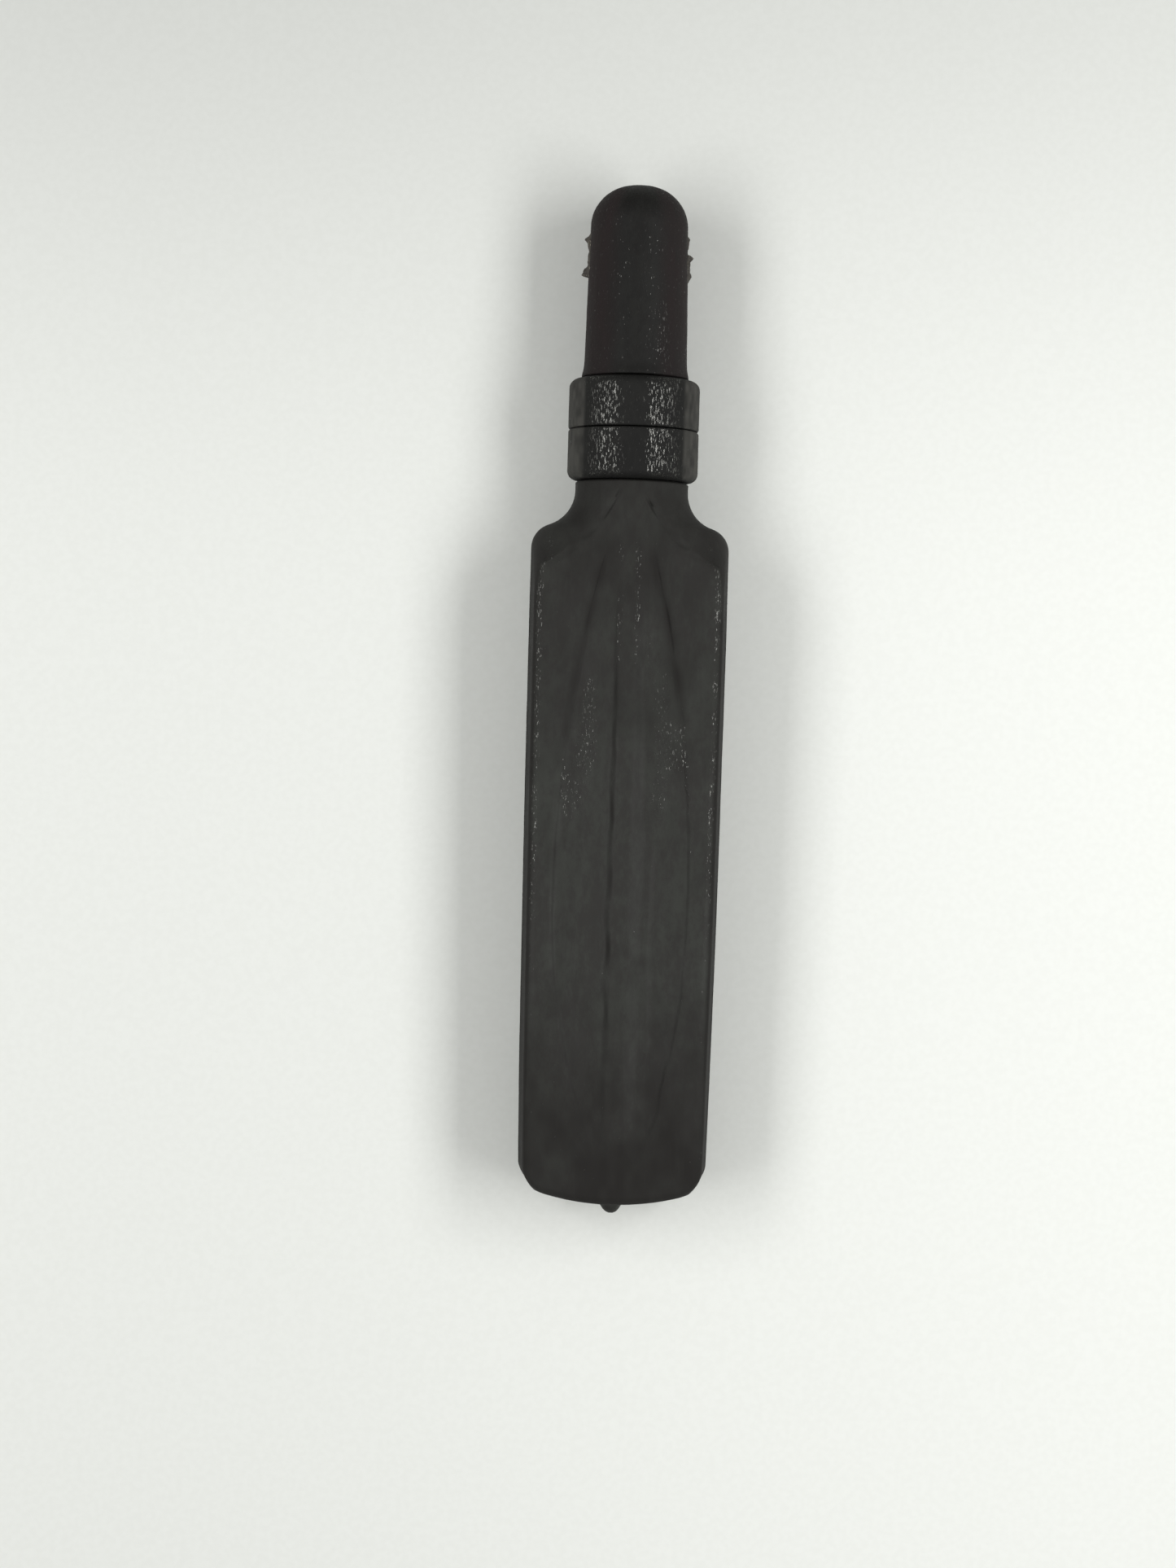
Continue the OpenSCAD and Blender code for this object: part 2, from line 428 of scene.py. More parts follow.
def chain(*parts):
    """Runs of points joined into one, without the points that repeat."""
    points = np.concatenate([np.atleast_2d(p) for p in parts])
    keep = np.ones(len(points), bool)
    keep[1:] = np.linalg.norm(np.diff(points, axis=0), axis=1) > 1e-6
    return points[keep]


# ---- The blade ----

# Where the marks, and the painted light and shade, start and stop along the blade, in millimetres from its
# end.
EDGE_FLECKS_FROM = 12
EDGE_FLECKS_TO = 64.6
FLOOR_FLECKS_FROM = 30
FLOOR_FLECKS_TO = 55
RIB_FLECKS_FROM = 50
LIT_FROM = 6
LIT_TO = 28
EDGE_SHADE_FROM = 43
LEAF_EDGE_FROM = 8
LEAF_EDGE_TO = 62
SHOULDER_CREASE_FROM = 62.5
SHOULDER_CREASE_TO = 69.5
SCRATCH_FROM = 39.2
SCRATCH_TO = 42.2
# How far some of them lie from the axis, and how far the scratch curves.
EDGE_FLECKS_X = 7.3
LIT_X = 1.7
SCRATCH_X = 6.25
SCRATCH_SWAY = 0.28

# Lines along the face, each through points of (s, x): a raised one and a sunken one.
RAISED_LINE = [(8, 2.2), (16, 2.9), (26, 2.6), (37, 2.9)]
SUNKEN_LINE = [(14, -6.1), (28, -6.3), (36, -5.9), (50, -4.2)]
RAISED_HEIGHT = 0.125
SUNKEN_DEPTH = 0.06

# The blade's sections: crowded towards the end, then in even steps along the face and closer
# ones along the shoulders and neck.
END_REACH = 4.2
END_SECTIONS = 52
END_CROWDING = 1.6
FACE_SECTIONS_FROM = 4.45
FACE_SECTION_STEP = 0.3
NECK_SECTION_STEP = 0.16


def leaf_edge(s):
    """How far the leaf's edge is from the axis at s."""
    return RIB_FOOT + (LEAF_HALF - RIB_FOOT) * leaf_share(s)


def by_leaf_edge(rings, width):
    """From 0 to 1, how near each point is to the leaf's edge, up to where the edge runs out at its tip."""
    near = bell(np.abs(rings[..., 0]), leaf_edge(rings[:, :1, 1]), width)
    return near * fall(rings[..., 1], LEAF_EDGE_TO, 3)


def blade_zones(rings, facing_up):
    """Where each point lies, from 0 to 1 for each zone: in the leaf, on a worn edge, on the rib's edges."""
    x, s = np.abs(rings[..., 0]), rings[..., 1]
    in_leaf = rise(x, RIB_FOOT, 0.3) * fall(x, leaf_edge(s), 0.3)
    on_edge = rise(facing_up, 0.62, 0.15) * fall(facing_up, 0.977, 0.02)
    on_edge = on_edge * rise(x, EDGE_FLECKS_X, 0.3) * fall(s, EDGE_FLECKS_TO, 1.2)
    on_rib = rise(x, 0.35, 0.2) * fall(x, 1.0, 0.25) * rise(leaf_share(s), 0, 0.1)
    return in_leaf, on_edge, on_rib


def curved_scratch(rings):
    """From 0 to 1, how near each point is to the small curved scratch on the face's right side."""
    x, s = rings[..., 0], rings[..., 1]
    path = SCRATCH_X + SCRATCH_SWAY * np.sin((s - SCRATCH_FROM) * 1.9)
    return bell(x, path, 0.09) * rise(s, SCRATCH_FROM, 0.3) * fall(s, SCRATCH_TO, 0.4)


def blade_wear(rings, in_leaf, on_edge, on_rib):
    """Bright flecks: along the edges' upper part, in patches on the leaf's floor and beside the rib."""
    x, s = rings[..., 0], rings[..., 1]
    broken = 0.72 + 0.28 * noise(rings, (1, 0.9, 1), 17)
    edges = on_edge * rise(s, EDGE_FLECKS_FROM, 26) * np.maximum(broken, rise(s, 54, 4))
    patch = rise(noise(rings, (1.8, 5, 9), 16), 0.1, 0.35)
    floor = 0.8 * in_leaf * patch * rise(s, FLOOR_FLECKS_FROM, 8) * fall(s, FLOOR_FLECKS_TO, 4)
    rib = 0.62 + 0.3 * noise(rings, (1, 1.6, 1), 23) + 0.1 * np.sign(x)
    rib = on_rib * rib * rise(s, RIB_FLECKS_FROM, 7)
    return np.maximum.reduce([edges, floor, rib, curved_scratch(rings)])


def blade_shade(rings, facing_up):
    """Painted shade on the sides and shoulders, where they face up least, and along the leaf's upper edges.
    Darker too towards both ends of the face.

    A band right of the rib stays lighter: a painted highlight.
    """
    x, s = rings[..., 0], rings[..., 1]
    ends = 0.85 * fall(s, 1, 27) + 0.35 * rise(s, 40, 10) + 0.3 * rise(s, 56, 10)
    # Painted highlight: a band right of the rib is painted lighter.
    lit = bell(x, LIT_X, 1.3) * rise(s, LIT_FROM, 4) * fall(s, LIT_TO, 8)
    # Painted shade along the leaf's upper edges, where the recess meets the face.
    leaf_edge_shade = by_leaf_edge(rings, 0.45) * rise(s, EDGE_SHADE_FROM, 7)
    leaf_edge_shade = leaf_edge_shade * (0.6 + 0.5 * noise(rings, (1, 2.6, 9), 27))
    # Painted shade on the sides and shoulders, by how little each point faces up.
    sides = fall(facing_up, 0.6, 0.36) * (1 - 0.3 * rise(s, 62, 3))
    mottle = 0.2 * noise(rings, (2.6, 4, 5), 18) + 0.16 * noise(rings, (0.8, 1.5, 1.2), 24)
    return np.maximum(ends - 0.4 * lit + 0.6 * leaf_edge_shade, sides) + mottle


def face_creases(rings):
    """Depth of the ragged creases: where the flat face meets the shoulders, and the leaf's upper edges."""
    x, s = np.abs(rings[..., 0]), rings[..., 1]
    ragged = np.maximum(0.15, 0.6 + 0.9 * noise(rings, (0.8, 1.4, 9), 26))
    face_edge = np.array([half_face(at) for at in s[:, 0]])[:, None]
    shoulder = bell(x, face_edge, 0.2) * rise(s, SHOULDER_CREASE_FROM, 1.5) * fall(s, SHOULDER_CREASE_TO, 1)
    leaf = by_leaf_edge(rings, 0.16) * mix(0.35, 1, rise(s, 36, 10)) * rise(s, LEAF_EDGE_FROM, 6)
    return (0.32 * shoulder + 0.15 * leaf) * ragged


def flow_line(rings, path, width):
    """From 0 to 1, how near each point is to a line along the blade through path, as (s, x)."""
    at, across = zip(*path)
    s = rings[..., 1]
    near = bell(rings[..., 0], np.interp(s, at, across), width)
    return near * rise(s, at[0], 3) * fall(s, at[-1] - 3, 3)


def face_lines(rings):
    """How far the face stands proud at each point: its flow lines, less its creases."""
    broken = 1 + 0.35 * noise(rings, (1, 1.3, 1), 25)
    raised = RAISED_HEIGHT * broken * flow_line(rings, RAISED_LINE, 0.36)
    sunken = SUNKEN_DEPTH * flow_line(rings, SUNKEN_LINE, 0.35)
    return raised - sunken - face_creases(rings)


def blade_stations():
    """Where along the blade its sections lie: close at the rounded end and at the shoulders."""
    return np.concatenate([
        END_REACH * np.linspace(0, 1, END_SECTIONS) ** END_CROWDING,
        np.arange(FACE_SECTIONS_FROM, NECK_STARTS, FACE_SECTION_STEP),
        np.arange(NECK_STARTS, COLLAR_AT - NECK_RELIEF, NECK_SECTION_STEP),
    ])


def make_blade(material):
    rings = np.stack([section(s) for s in blade_stations()])
    facing_up = np.abs(normals_of(rings)[..., 2])
    in_leaf, on_edge, on_rib = blade_zones(rings, facing_up)
    on_side = fall(facing_up, 0, 0.3)
    rings = worn(rings, [
        (0.035, (9, 14, 9), 11, 1),
        (0.012, (1.5, 4.0, 0.45), 20, on_side),
        (0.010, (0.9, 2.0, 0.9), 12, 1),
        (0.030, (0.5, 4.0, 3.0), 13, in_leaf),
        (0.014, (0.38, 0.8, 0.5), 15, in_leaf),
        (0.025, (0.5, 0.55, 0.5), 14, on_edge),
        (0.040, (0.5, 2.2, 3.0), 19, on_rib),
    ])
    rings[..., 2] += np.sign(rings[..., 2]) * face_lines(rings)
    wear = blade_wear(rings, in_leaf, on_edge, on_rib)
    shade = blade_shade(rings, facing_up)
    # A thin relief before the collar leaves the dark joint line.
    narrower = (NECK_RADIUS - RELIEF_DEPTH) / NECK_RADIUS
    foot = rings[-1] * (narrower, 1, narrower)
    rings = np.concatenate([rings, np.stack([foot + (0, 0.02, 0), foot + (0, NECK_RELIEF, 0)])])
    wear = np.concatenate([wear, wear[-2:] * 0])
    shade = np.concatenate([shade, shade[-2:]])
    grid_object("folding_blade_body", rings, material, "folding_blade", wear, shade)


def make_gate_stub(material):
    """The stub that the mould's gate left on the blade's end."""
    profile = chain(
        (1.5, 0.5),
        (1.35, 0.2),
        (1.14, 0.02),
        (1.0, -0.12),
        (0.9, -0.3),
        (0.78, -0.5),
        (0.62, -0.68),
        (0.42, -0.82),
        (0.2, -0.89),
        (0.04, -0.9),
    )
    rings = worn(turned(profile, 48), [
        (0.06, (0.7, 0.5, 0.7), 81, 1.0),
        (0.02, (0.25, 0.25, 0.25), 82, 1.0),
    ])
    grid_object("gate_stub", rings, material)


# ---- The collar rings ----

RING_STEPS = 560
# Scoring starts at this distance from the axis, so the bore stays plain.
SCORED_FROM = 5.6


def ring_profile(start, low_round, high_round):
    """A collar ring's half section, from the bore's start out, up and back to the bore."""
    top = start + RING_LENGTH
    low = (COLLAR_RADIUS - low_round, start + low_round)
    high = (COLLAR_RADIUS - high_round, top - high_round)
    return chain(
        np.linspace((BORE_RADIUS, start), (low[0], start), 6),
        arc(low, low_round, -90, 0, 10),
        np.linspace((COLLAR_RADIUS, low[1]), (COLLAR_RADIUS, high[1]), 34),
        arc(high, high_round, 0, 90, 10),
        np.linspace((high[0], top), (BORE_RADIUS, top), 6),
    )


def make_ring(name, node, start, rounds, gaps, seed, material):
    """A scored ring. rounds and gaps say how its two ends are rounded and cut back, low end first."""
    profile = ring_profile(start, *rounds)
    profile[:, 1] = np.clip(profile[:, 1], start + gaps[0], start + RING_LENGTH - gaps[1])
    rings = turned(profile, RING_STEPS)
    outer = rise(radius_of(rings), SCORED_FROM, 0.5)
    rings = worn(rings, [
        (0.030, (5, 6, 5), seed, outer),
        (0.008, (0.28, 1.8, 0.28), seed + 1, outer),
        (0.006, (0.2, 0.8, 0.2), seed + 2, outer),
    ])
    # The scored bands lie on both sides of the ring's top, and its flanks are painted paler grey, a painted
    # reflection of the floor.
    side = np.abs(rings[..., 0]) / COLLAR_RADIUS
    rubbed = 0.45 + 0.55 * rise(side, 0.08, 0.2) - 0.75 * rise(side, 0.62, 0.16)
    floor_reflection = rise(side, 0.73, 0.06) * (0.72 + 0.5 * noise(rings, (0.5, 0.9, 0.5), seed + 3))
    # The last ring of points joins the first along the bore's wall, so the solid is closed.
    faces = quads(rings, closed=True)
    mesh_object(name, rings, faces, material, node, outer * rubbed, outer * floor_reflection)


def make_collar(material):
    make_ring("lower_ring_scored", "lower_collar_ring", COLLAR_AT,
              (RING_OUTER_ROUND, RING_INNER_ROUND), (0, RING_SLIT), 21, material)
    make_ring("upper_ring_scored", "upper_collar_ring", COLLAR_AT + RING_LENGTH,
              (RING_INNER_ROUND, RING_OUTER_ROUND), (RING_SLIT, 0), 31, material)


# ---- The grip and its torn gates ----

# Heights of the torn plastic at each distance from the blade's end, as (s, height).
LEFT_TEAR = [
    (90.9, 0.0), (91.05, 0.7), (91.2, 1.0), (91.4, 0.75), (91.7, 0.45), (92.2, 0.26), (92.9, 0.16),
    (93.5, 0.15), (94.0, 0.28), (94.35, 0.42), (94.6, 0.72), (94.8, 0.55), (95.0, 0.2), (95.3, 0.0),
]
RIGHT_TEAR = [
    (90.6, 0.0), (90.9, 0.3), (91.5, 0.46), (92.1, 0.42), (92.8, 0.5), (93.2, 0.34), (93.7, 0.1),
    (94.1, 0.24), (94.5, 0.16), (94.9, 0.3), (95.2, 0.2), (95.5, 0.0),
]
# A fin's half thickness before it tapers, and how deep its root goes into the grip.
FIN_HALF = 0.64
FIN_ROOT = 0.25
FIN_SECTIONS = 90
FIN_STEPS = 22
GRIP_STEPS = 300
GRIP_SECTION_STEP = 0.12


def grip_radius(s):
    """The grip's radius at s, below its dome, with a small foot at the collar."""
    r = mix(GRIP_RADIUS, GRIP_TOP_RADIUS, (s - GRIP_AT) / (DOME_AT - GRIP_AT))
    return r + 0.18 * bell(s, GRIP_AT + GRIP_RELIEF, 0.7)


def grip_profile():
    """The grip's half section: a thin relief that leaves the dark joint line, the wall and the dome."""
    low = np.arange(GRIP_AT + GRIP_RELIEF, DOME_AT, GRIP_SECTION_STEP)
    wall = np.stack([grip_radius(low), low], 1)
    foot = GRIP_RADIUS - RELIEF_DEPTH
    return chain(
        (foot, GRIP_AT),
        (foot, GRIP_AT + GRIP_RELIEF - 0.04),
        (wall[0][0] - 0.08, GRIP_AT + GRIP_RELIEF - 0.03),
        wall,
        arc((GRIP_TOP_RADIUS - DOME_RADIUS, DOME_AT), DOME_RADIUS, 0, 89.5, 40),
        (0.35, TOOL_LENGTH),
        (0.05, TOOL_LENGTH),
    )


def make_grip(material):
    rings = turned(grip_profile(), GRIP_STEPS)
    out = rise(radius_of(rings), 1, 1.5)
    rings = worn(rings, [
        (0.035, (6, 8, 6), 41, out),
        (0.010, (0.5, 2.0, 0.5), 42, out),
        (0.006, (0.3, 0.5, 0.3), 43, out),
    ])
    x, s, z = (rings[..., i] for i in range(3))
    rings[..., 0] += np.sign(x) * PARTING_RIDGE * bell(z, 0, 0.09) * out
    # side is the angle from the nearer face, in degrees, with the right side above 0.
    side = np.degrees(np.arctan2(x, np.abs(z)))
    low_right = bell(side, 33, 13) * (1 - 0.6 * rise(s, 85, 7)) * fall(s, 93, 3)
    scuffed = rise(noise(rings, (3, 4, 3), 44), 0, 0.5) * rise(np.abs(side), 12, 10)
    wear = np.maximum.reduce([0.9 * low_right, 0.4 * scuffed, np.full(side.shape, 0.4)]) * out
    # Painted sheen down the sides: shade moves them to the grip's lighter, browner shaded tone.
    streaked = 0.8 + 0.3 * noise(rings, (1.2, 9, 1.2), 45) + 0.25 * noise(rings, (0.5, 1.6, 0.5), 46)
    shade = rise(np.abs(side), 18, 22) * streaked
    grid_object("round_end_grip_body", rings, material, "round_end_grip", wear, shade)


def torn_fin(name, side, heights, seed, rough, material):
    """Torn plastic on the parting line: a fin of that height at each (s, height), thick at its root."""
    s = np.linspace(heights[0][0], heights[-1][0], FIN_SECTIONS)
    zero = np.zeros(len(s))
    ragged = 1 + rough * noise(np.stack([s, zero, zero], 1), (0.45, 1, 1), seed + 1)
    tall = np.maximum(0.02, np.interp(s, *zip(*heights)) * ragged)
    lean = 0.25 * noise(np.stack([s, s, s], 1), (1.3, 1.3, 1.3), seed)
    angle = run(0, 2 * math.pi, FIN_STEPS)
    out = (np.cos(angle) + 1) / 2
    taper = FIN_HALF * (1 - 0.8 * out) * leg(1, 2 * out - 1)
    rings = []
    for at, h, tilt in zip(s, tall, lean):
        x = grip_radius(at) - FIN_ROOT + out * (h + FIN_ROOT)
        width = taper * (0.5 + 0.5 * min(1, h / 0.3))
        z = np.sign(np.sin(angle)) * width + tilt * out * h * 2
        rings.append(np.stack([side * x, np.full(len(angle), at), z], 1))
    rings = np.stack(rings)
    grain = noise(rings, (0.3, 0.3, 0.3), seed + 2)[..., None] * rough * 0.2
    rings = rings + grain * np.array([side * 0.6, 0.8, 1.0])
    grid_object(name, rings, material, wear=np.ones(rings.shape[:2]))


def make_gate_marks(material):
    torn_fin("gate_tear_left", -1, LEFT_TEAR, 61, 0.25, material)
    torn_fin("gate_tear_right", 1, RIGHT_TEAR, 71, 0.6, material)


# ---- Materials ----

# How much full wear helps the flecks through, how soon they are whole, and how rough they are.
WEAR_LIFT = 0.2
GLINT_REACH = 0.04
FLECK_ROUGHNESS = 0.22


def node_of(tree, kind, **values):
    """A new shader node with these properties."""
    node = tree.nodes.new(kind)
    for key, value in values.items():
        setattr(node, key, value)
    return node


def feed(tree, value, socket):
    """Links a socket to another, or sets its value."""
    if isinstance(value, bpy.types.NodeSocket):
        tree.links.new(value, socket)
    else:
        socket.default_value = value


def stretched_noise(tree, coords, scale, detail, rough=0.5):
    """A noise texture with its own scale along x, y and z, in features a metre."""
    mapping = node_of(tree, "ShaderNodeMapping")
    mapping.inputs["Scale"].default_value = scale
    tree.links.new(coords, mapping.inputs["Vector"])
    tex = node_of(tree, "ShaderNodeTexNoise")
    tex.inputs["Scale"].default_value = 1.0
    tex.inputs["Detail"].default_value = detail
    tex.inputs["Roughness"].default_value = rough
    tree.links.new(mapping.outputs["Vector"], tex.inputs["Vector"])
    return tex.outputs["Fac"]


def remap(tree, value, low, high, to_low, to_high):
    """Takes value smoothly from to_low, where it is low, to to_high, where it is high."""
    node = node_of(tree, "ShaderNodeMapRange", interpolation_type="SMOOTHSTEP")
    for name, number in zip(("From Min", "From Max", "To Min", "To Max"), (low, high, to_low, to_high)):
        feed(tree, number, node.inputs[name])
    tree.links.new(value, node.inputs["Value"])
    return node.outputs["Result"]


def blend_colour(tree, fac, a, b):
    """Mixes two colours, each a value or a socket, by fac."""
    node = node_of(tree, "ShaderNodeMix", data_type="RGBA")
    tree.links.new(fac, node.inputs["Factor"])
    for name, colour in (("A", a), ("B", b)):
        socket = next(i for i in node.inputs if i.name == name and i.type == "RGBA")
        feed(tree, (*colour, 1) if isinstance(colour, tuple) else colour, socket)
    return next(o for o in node.outputs if o.type == "RGBA")


def combine(tree, operation, a, b):
    """One step of arithmetic on two numbers, each a value or a socket."""
    node = node_of(tree, "ShaderNodeMath", operation=operation)
    feed(tree, a, node.inputs[0])
    feed(tree, b, node.inputs[1])
    return node.outputs["Value"]


def average(tree, a, b):
    """The mean of two sockets."""
    return combine(tree, "ADD", combine(tree, "MULTIPLY", a, 0.5), combine(tree, "MULTIPLY", b, 0.5))


def moulded_plastic(name, *, dark, light, shaded, scuff, roughness, glint_from, flecks_a_metre,
                    grain, pitting, level):
    """Near-black moulded plastic: cloudy tone, fine grain, and small smooth flecks that catch the light.

    The tone runs from dark to light, becomes shaded at full shade, which carries each material's painted
    shade and painted reflection, and is scuff on the flecks.
    Flecks lie where a stretched noise, raised by the mesh's wear, passes glint_from.
    flecks_a_metre counts them across the tool and along it. grain is the relief's depth in
    metres, pitting says how much deeper it is at full wear, and level is the specular level.
    """
    material = bpy.data.materials.new(name)
    material.use_nodes = True
    tree = material.node_tree
    shader = tree.nodes["Principled BSDF"]
    shader.inputs["Specular IOR Level"].default_value = level
    coords = node_of(tree, "ShaderNodeTexCoord").outputs["Object"]
    wear = node_of(tree, "ShaderNodeAttribute", attribute_name="wear").outputs["Fac"]
    shade = node_of(tree, "ShaderNodeAttribute", attribute_name="shade").outputs["Fac"]

    across, along = flecks_a_metre
    cloud = stretched_noise(tree, coords, (220, 110, 220), 4, 0.6)
    mottle = stretched_noise(tree, coords, (1500, 800, 1500), 5, 0.7)
    streaks = stretched_noise(tree, coords, (2600, 300, 2600), 3)
    flecks = stretched_noise(tree, coords, (across, along, across), 2, 0.6)
    pores = stretched_noise(tree, coords, (7000, 5200, 7000), 3, 0.6)

    raised = combine(tree, "ADD", flecks, combine(tree, "MULTIPLY", wear, WEAR_LIFT))
    glint = remap(tree, raised, glint_from, glint_from + GLINT_REACH, 0, 1)
    tone = blend_colour(tree, remap(tree, average(tree, cloud, mottle), 0.4, 0.6, 0, 1), dark, light)
    # Painted shade and painted reflection: full shade moves the tone to shaded.
    tone = blend_colour(tree, shade, tone, shaded)
    tone = blend_colour(tree, remap(tree, streaks, 0.55, 0.75, 0, 0.02), tone, scuff)
    tone = blend_colour(tree, glint, tone, scuff)
    tree.links.new(tone, shader.inputs["Base Color"])
    tree.links.new(glint, shader.inputs["Metallic"])

    rough = combine(tree, "ADD", combine(tree, "MULTIPLY", shade, 0.2), roughness)
    smoother = combine(tree, "MULTIPLY", glint, roughness - FLECK_ROUGHNESS)
    tree.links.new(combine(tree, "SUBTRACT", rough, smoother), shader.inputs["Roughness"])

    deep = combine(tree, "ADD", combine(tree, "MULTIPLY", wear, pitting), 0.6)
    height = combine(tree, "ADD", average(tree, streaks, pores), combine(tree, "MULTIPLY", flecks, deep))
    bump = node_of(tree, "ShaderNodeBump")
    bump.inputs["Strength"].default_value = 1.0
    bump.inputs["Distance"].default_value = grain
    tree.links.new(height, bump.inputs["Height"])
    tree.links.new(bump.outputs["Normal"], shader.inputs["Normal"])
    return material


def blade_plastic():
    """Olive black, with flecks where the mesh is worn; full shade gives its darker painted shade."""
    return moulded_plastic(
        "blade_moulded",
        dark=(0.0200, 0.0190, 0.0170),
        light=(0.0272, 0.0290, 0.0245),
        shaded=(0.0112, 0.0100, 0.0088),
        scuff=(0.090, 0.090, 0.085),
        roughness=0.64,
        glint_from=0.755,
        flecks_a_metre=(6200, 2300),
        grain=0.000020,
        pitting=3.4,
        level=0.32,
    )


def ring_plastic():
    """Black with pale scored flecks on top and pale grey flanks, a painted reflection of the floor, which
    its full shade gives.
    """
    return moulded_plastic(
        "ring_scored",
        dark=(0.0055, 0.0055, 0.0050),
        light=(0.0085, 0.0085, 0.0075),
        shaded=(0.0600, 0.0585, 0.0530),
        scuff=(0.135, 0.135, 0.127),
        roughness=0.74,
        glint_from=0.768,
        flecks_a_metre=(8600, 1800),
        grain=0.000020,
        pitting=1.5,
        level=0.27,
    )


def grip_plastic():
    """Black, painted lighter and browner down its sides: a painted sheen."""
    return moulded_plastic(
        "grip_smooth",
        dark=(0.0056, 0.0052, 0.0046),
        light=(0.0088, 0.0088, 0.0076),
        shaded=(0.0180, 0.0128, 0.0128),
        scuff=(0.070, 0.068, 0.065),
        roughness=0.66,
        glint_from=0.755,
        flecks_a_metre=(6200, 2300),
        grain=0.000014,
        pitting=4.0,
        level=0.24,
    )


def torn_plastic():
    """The same plastic where the gates tore off, painted paler for the light that the thin torn plastic
    catches.
    """
    return moulded_plastic(
        "gate_torn",
        dark=(0.03, 0.025, 0.02),
        light=(0.06, 0.052, 0.042),
        shaded=(0.03, 0.025, 0.02),
        scuff=(0.16, 0.145, 0.12),
        roughness=0.6,
        glint_from=0.80,
        flecks_a_metre=(6200, 1800),
        grain=0.00003,
        pitting=1.0,
        level=0.5,
    )


def paper_material():
    """Smooth pale paper with a faint tooth. Painted shade darkens it beyond the tool's middle and to its
    left.
    """
    material = bpy.data.materials.new("pale_paper")
    material.use_nodes = True
    tree = material.node_tree
    shader = tree.nodes["Principled BSDF"]
    coords = node_of(tree, "ShaderNodeTexCoord").outputs["Object"]
    tooth = remap(tree, stretched_noise(tree, coords, (1500, 1500, 1500), 3), 0.3, 0.7, 0, 1)
    tone = blend_colour(tree, tooth, (0.865, 0.882, 0.843), (0.885, 0.903, 0.865))
    split = node_of(tree, "ShaderNodeSeparateXYZ")
    tree.links.new(coords, split.inputs[0])
    # Painted shade: the paper darkens beyond the tool's middle and to its left.
    beyond = remap(tree, split.outputs["Y"], 0.005, 0.095, 0, 0.22)
    to_left = remap(tree, split.outputs["X"], -0.06, 0.06, 0.09, 0)
    for share in (beyond, to_left):
        tone = blend_colour(tree, share, tone, (0, 0, 0))
    tree.links.new(tone, shader.inputs["Base Color"])
    shader.inputs["Roughness"].default_value = 0.9
    shader.inputs["Specular IOR Level"].default_value = 0.2
    return material


# ---- The stage: table, lights and camera ----

TABLE_HALF = 1.5
BACKDROP = 0.265
PANEL_ELEVATION = 49
PANEL_DISTANCE = 0.33
PANEL_TALL = 0.105
PANEL_LONG = 0.32
PANEL_ALONG = -0.02
CAMERA_VIEW = 27.1
CAMERA_ROLL = 1.7
CAMERA_OFFSET = (-3.7 * MM, -8.6 * MM, 320 * MM)

# The tool rocks down onto its collar and the lower edge of the blade's end.
LOWER_EDGE_AT = 1.2
TOUCH_COLLAR = Vector(place((0, COLLAR_AT + RING_OUTER_ROUND, -COLLAR_RADIUS)))
TOUCH_BLADE = Vector(place((0, LOWER_EDGE_AT, -THICKNESS / 2)))
TABLE_TILT = math.atan2(TOUCH_BLADE.z - TOUCH_COLLAR.z, TOUCH_COLLAR.y - TOUCH_BLADE.y)
TABLE = Matrix.Translation(TOUCH_COLLAR) @ Matrix.Rotation(-TABLE_TILT, 4, "X")


def make_table():
    square = ((-1, -1), (1, -1), (1, 1), (-1, 1))
    corners = [TABLE @ Vector((x * TABLE_HALF, y * TABLE_HALF, 0)) for x, y in square]
    mesh = bpy.data.meshes.new("table")
    mesh.from_pydata(corners, [], [(0, 1, 2, 3)])
    mesh.materials.append(paper_material())
    table = bpy.data.objects.new("table", mesh)
    bpy.context.scene.collection.objects.link(table)


def make_panel(name, side, watts):
    """A soft light panel beside the tool, aimed at it. side is 1 on the right and -1 on the left."""
    light = bpy.data.lights.new(name, "AREA")
    light.shape = "RECTANGLE"
    light.size = PANEL_LONG
    light.size_y = PANEL_TALL
    light.energy = watts
    a = math.radians(PANEL_ELEVATION)
    across = side * PANEL_DISTANCE * math.cos(a)
    centre = Vector((across, PANEL_ALONG, PANEL_DISTANCE * math.sin(a)))
    toward = (Vector((0, PANEL_ALONG, 0)) - centre).normalized()
    long_axis = Vector((0, 1, 0))
    up = toward.cross(long_axis).normalized()
    turn = Matrix((-long_axis, up, -toward)).transposed()
    panel = bpy.data.objects.new(name, light)
    panel.matrix_world = TABLE @ Matrix.Translation(centre) @ turn.to_4x4()
    bpy.context.scene.collection.objects.link(panel)


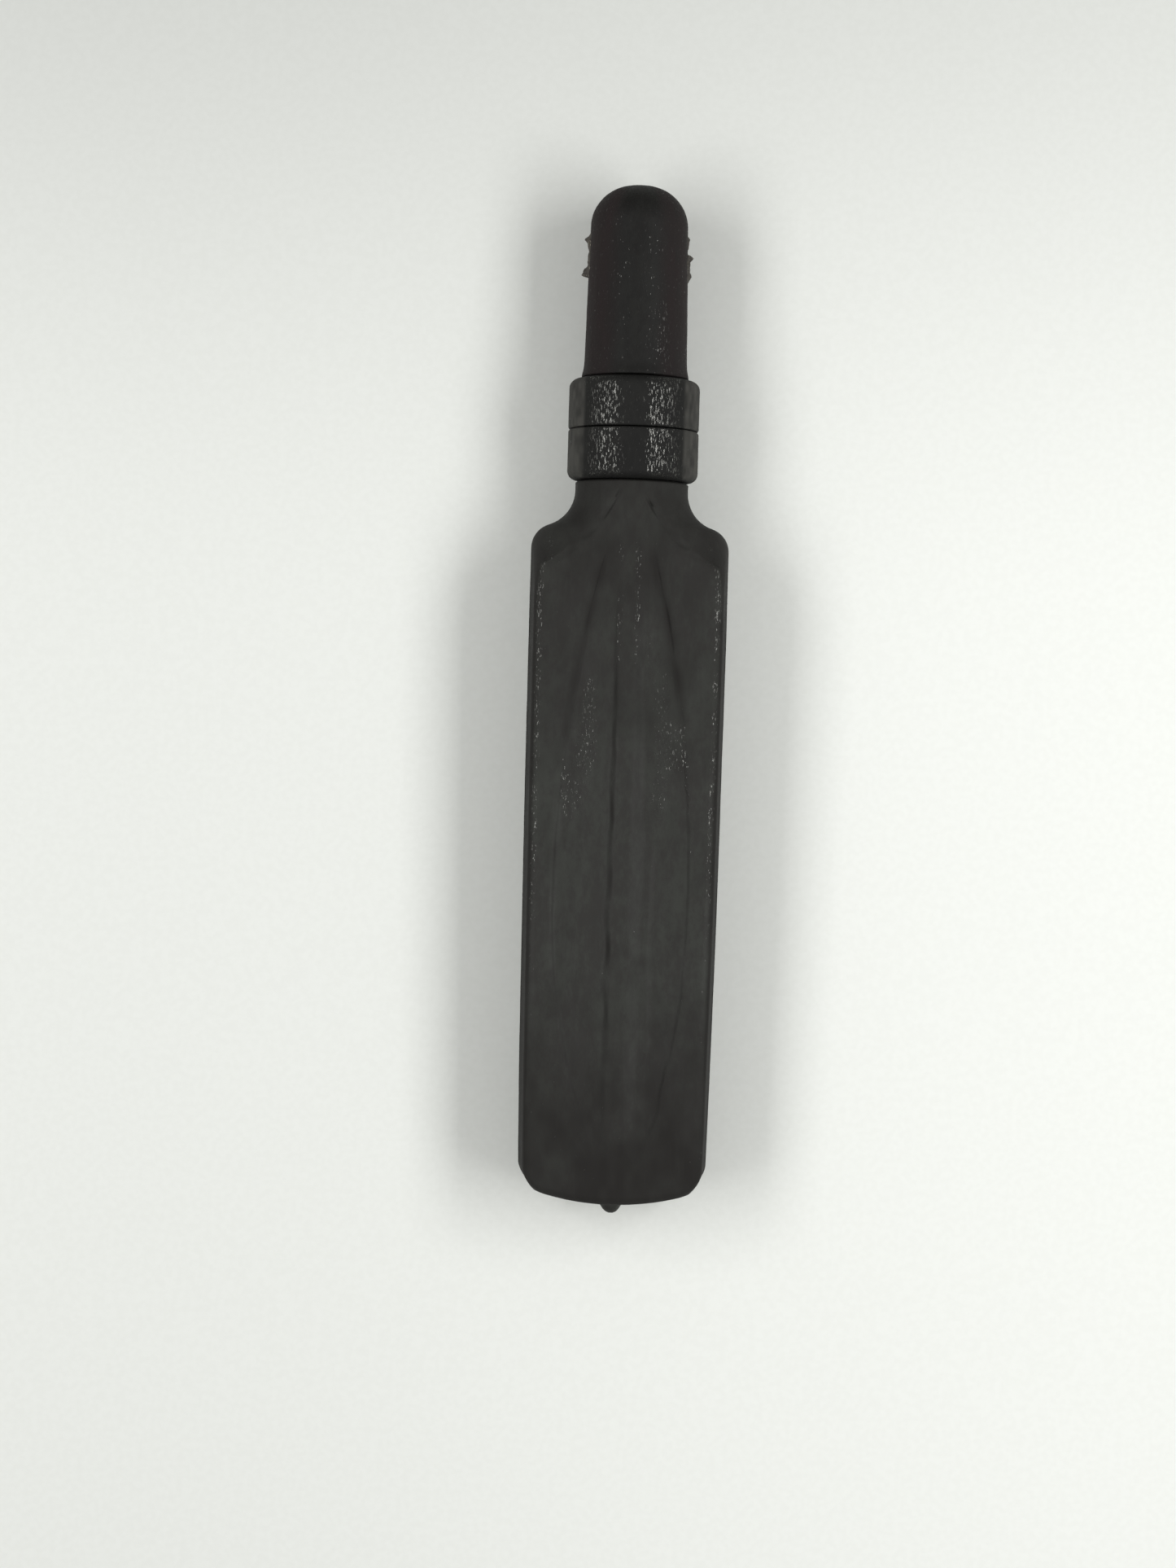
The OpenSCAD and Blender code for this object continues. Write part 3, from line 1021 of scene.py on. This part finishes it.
def make_world():
    """The room: dark at the horizon and straight overhead, light between, and dimmer beyond the grip.

    Past the table's edge the eye sees an even backdrop.
    """
    world = bpy.data.worlds.new("studio")
    bpy.context.scene.world = world
    world.use_nodes = True
    tree = world.node_tree
    background = tree.nodes["Background"]
    coords = node_of(tree, "ShaderNodeTexCoord").outputs["Generated"]
    split = node_of(tree, "ShaderNodeSeparateXYZ")
    tree.links.new(coords, split.inputs[0])
    above_horizon = remap(tree, split.outputs["Z"], 0.25, 0.6, 0.06, 0.5)
    overhead = remap(tree, split.outputs["Z"], 0.86, 0.98, 1.0, 0.4)
    beyond = remap(tree, split.outputs["Y"], -0.8, 0.8, 1.2, 0.7)
    glow = combine(tree, "MULTIPLY", combine(tree, "MULTIPLY", above_horizon, overhead), beyond)
    seen = node_of(tree, "ShaderNodeLightPath").outputs["Is Camera Ray"]
    tree.links.new(remap(tree, seen, 0, 1, glow, BACKDROP), background.inputs["Strength"])
    background.inputs["Color"].default_value = (1.0, 1.0, 0.98, 1)


def make_camera():
    """Straight down on the table, the tool leaning a little clockwise in the view."""
    data = bpy.data.cameras.new("camera")
    data.angle = math.radians(CAMERA_VIEW)
    data.clip_start = 0.01
    camera = bpy.data.objects.new("camera", data)
    turn = Matrix.Rotation(-TABLE_TILT, 4, "X") @ Matrix.Rotation(math.radians(CAMERA_ROLL), 4, "Z")
    middle = Vector(place((0, TOOL_LENGTH / 2, 0)))
    camera.matrix_world = Matrix.Translation(middle + turn @ Vector(CAMERA_OFFSET)) @ turn
    bpy.context.scene.collection.objects.link(camera)
    bpy.context.scene.camera = camera


def make_tool():
    blade = blade_plastic()
    ring = ring_plastic()
    grip = grip_plastic()
    torn = torn_plastic()
    make_blade(blade)
    make_gate_stub(blade)
    make_collar(ring)
    make_grip(grip)
    make_gate_marks(torn)


make_camera()
make_table()
make_world()
make_panel("panel_right", 1, 0.66)
make_panel("panel_left", -1, 0.52)
make_tool()
bpy.context.scene.view_settings.view_transform = "Standard"
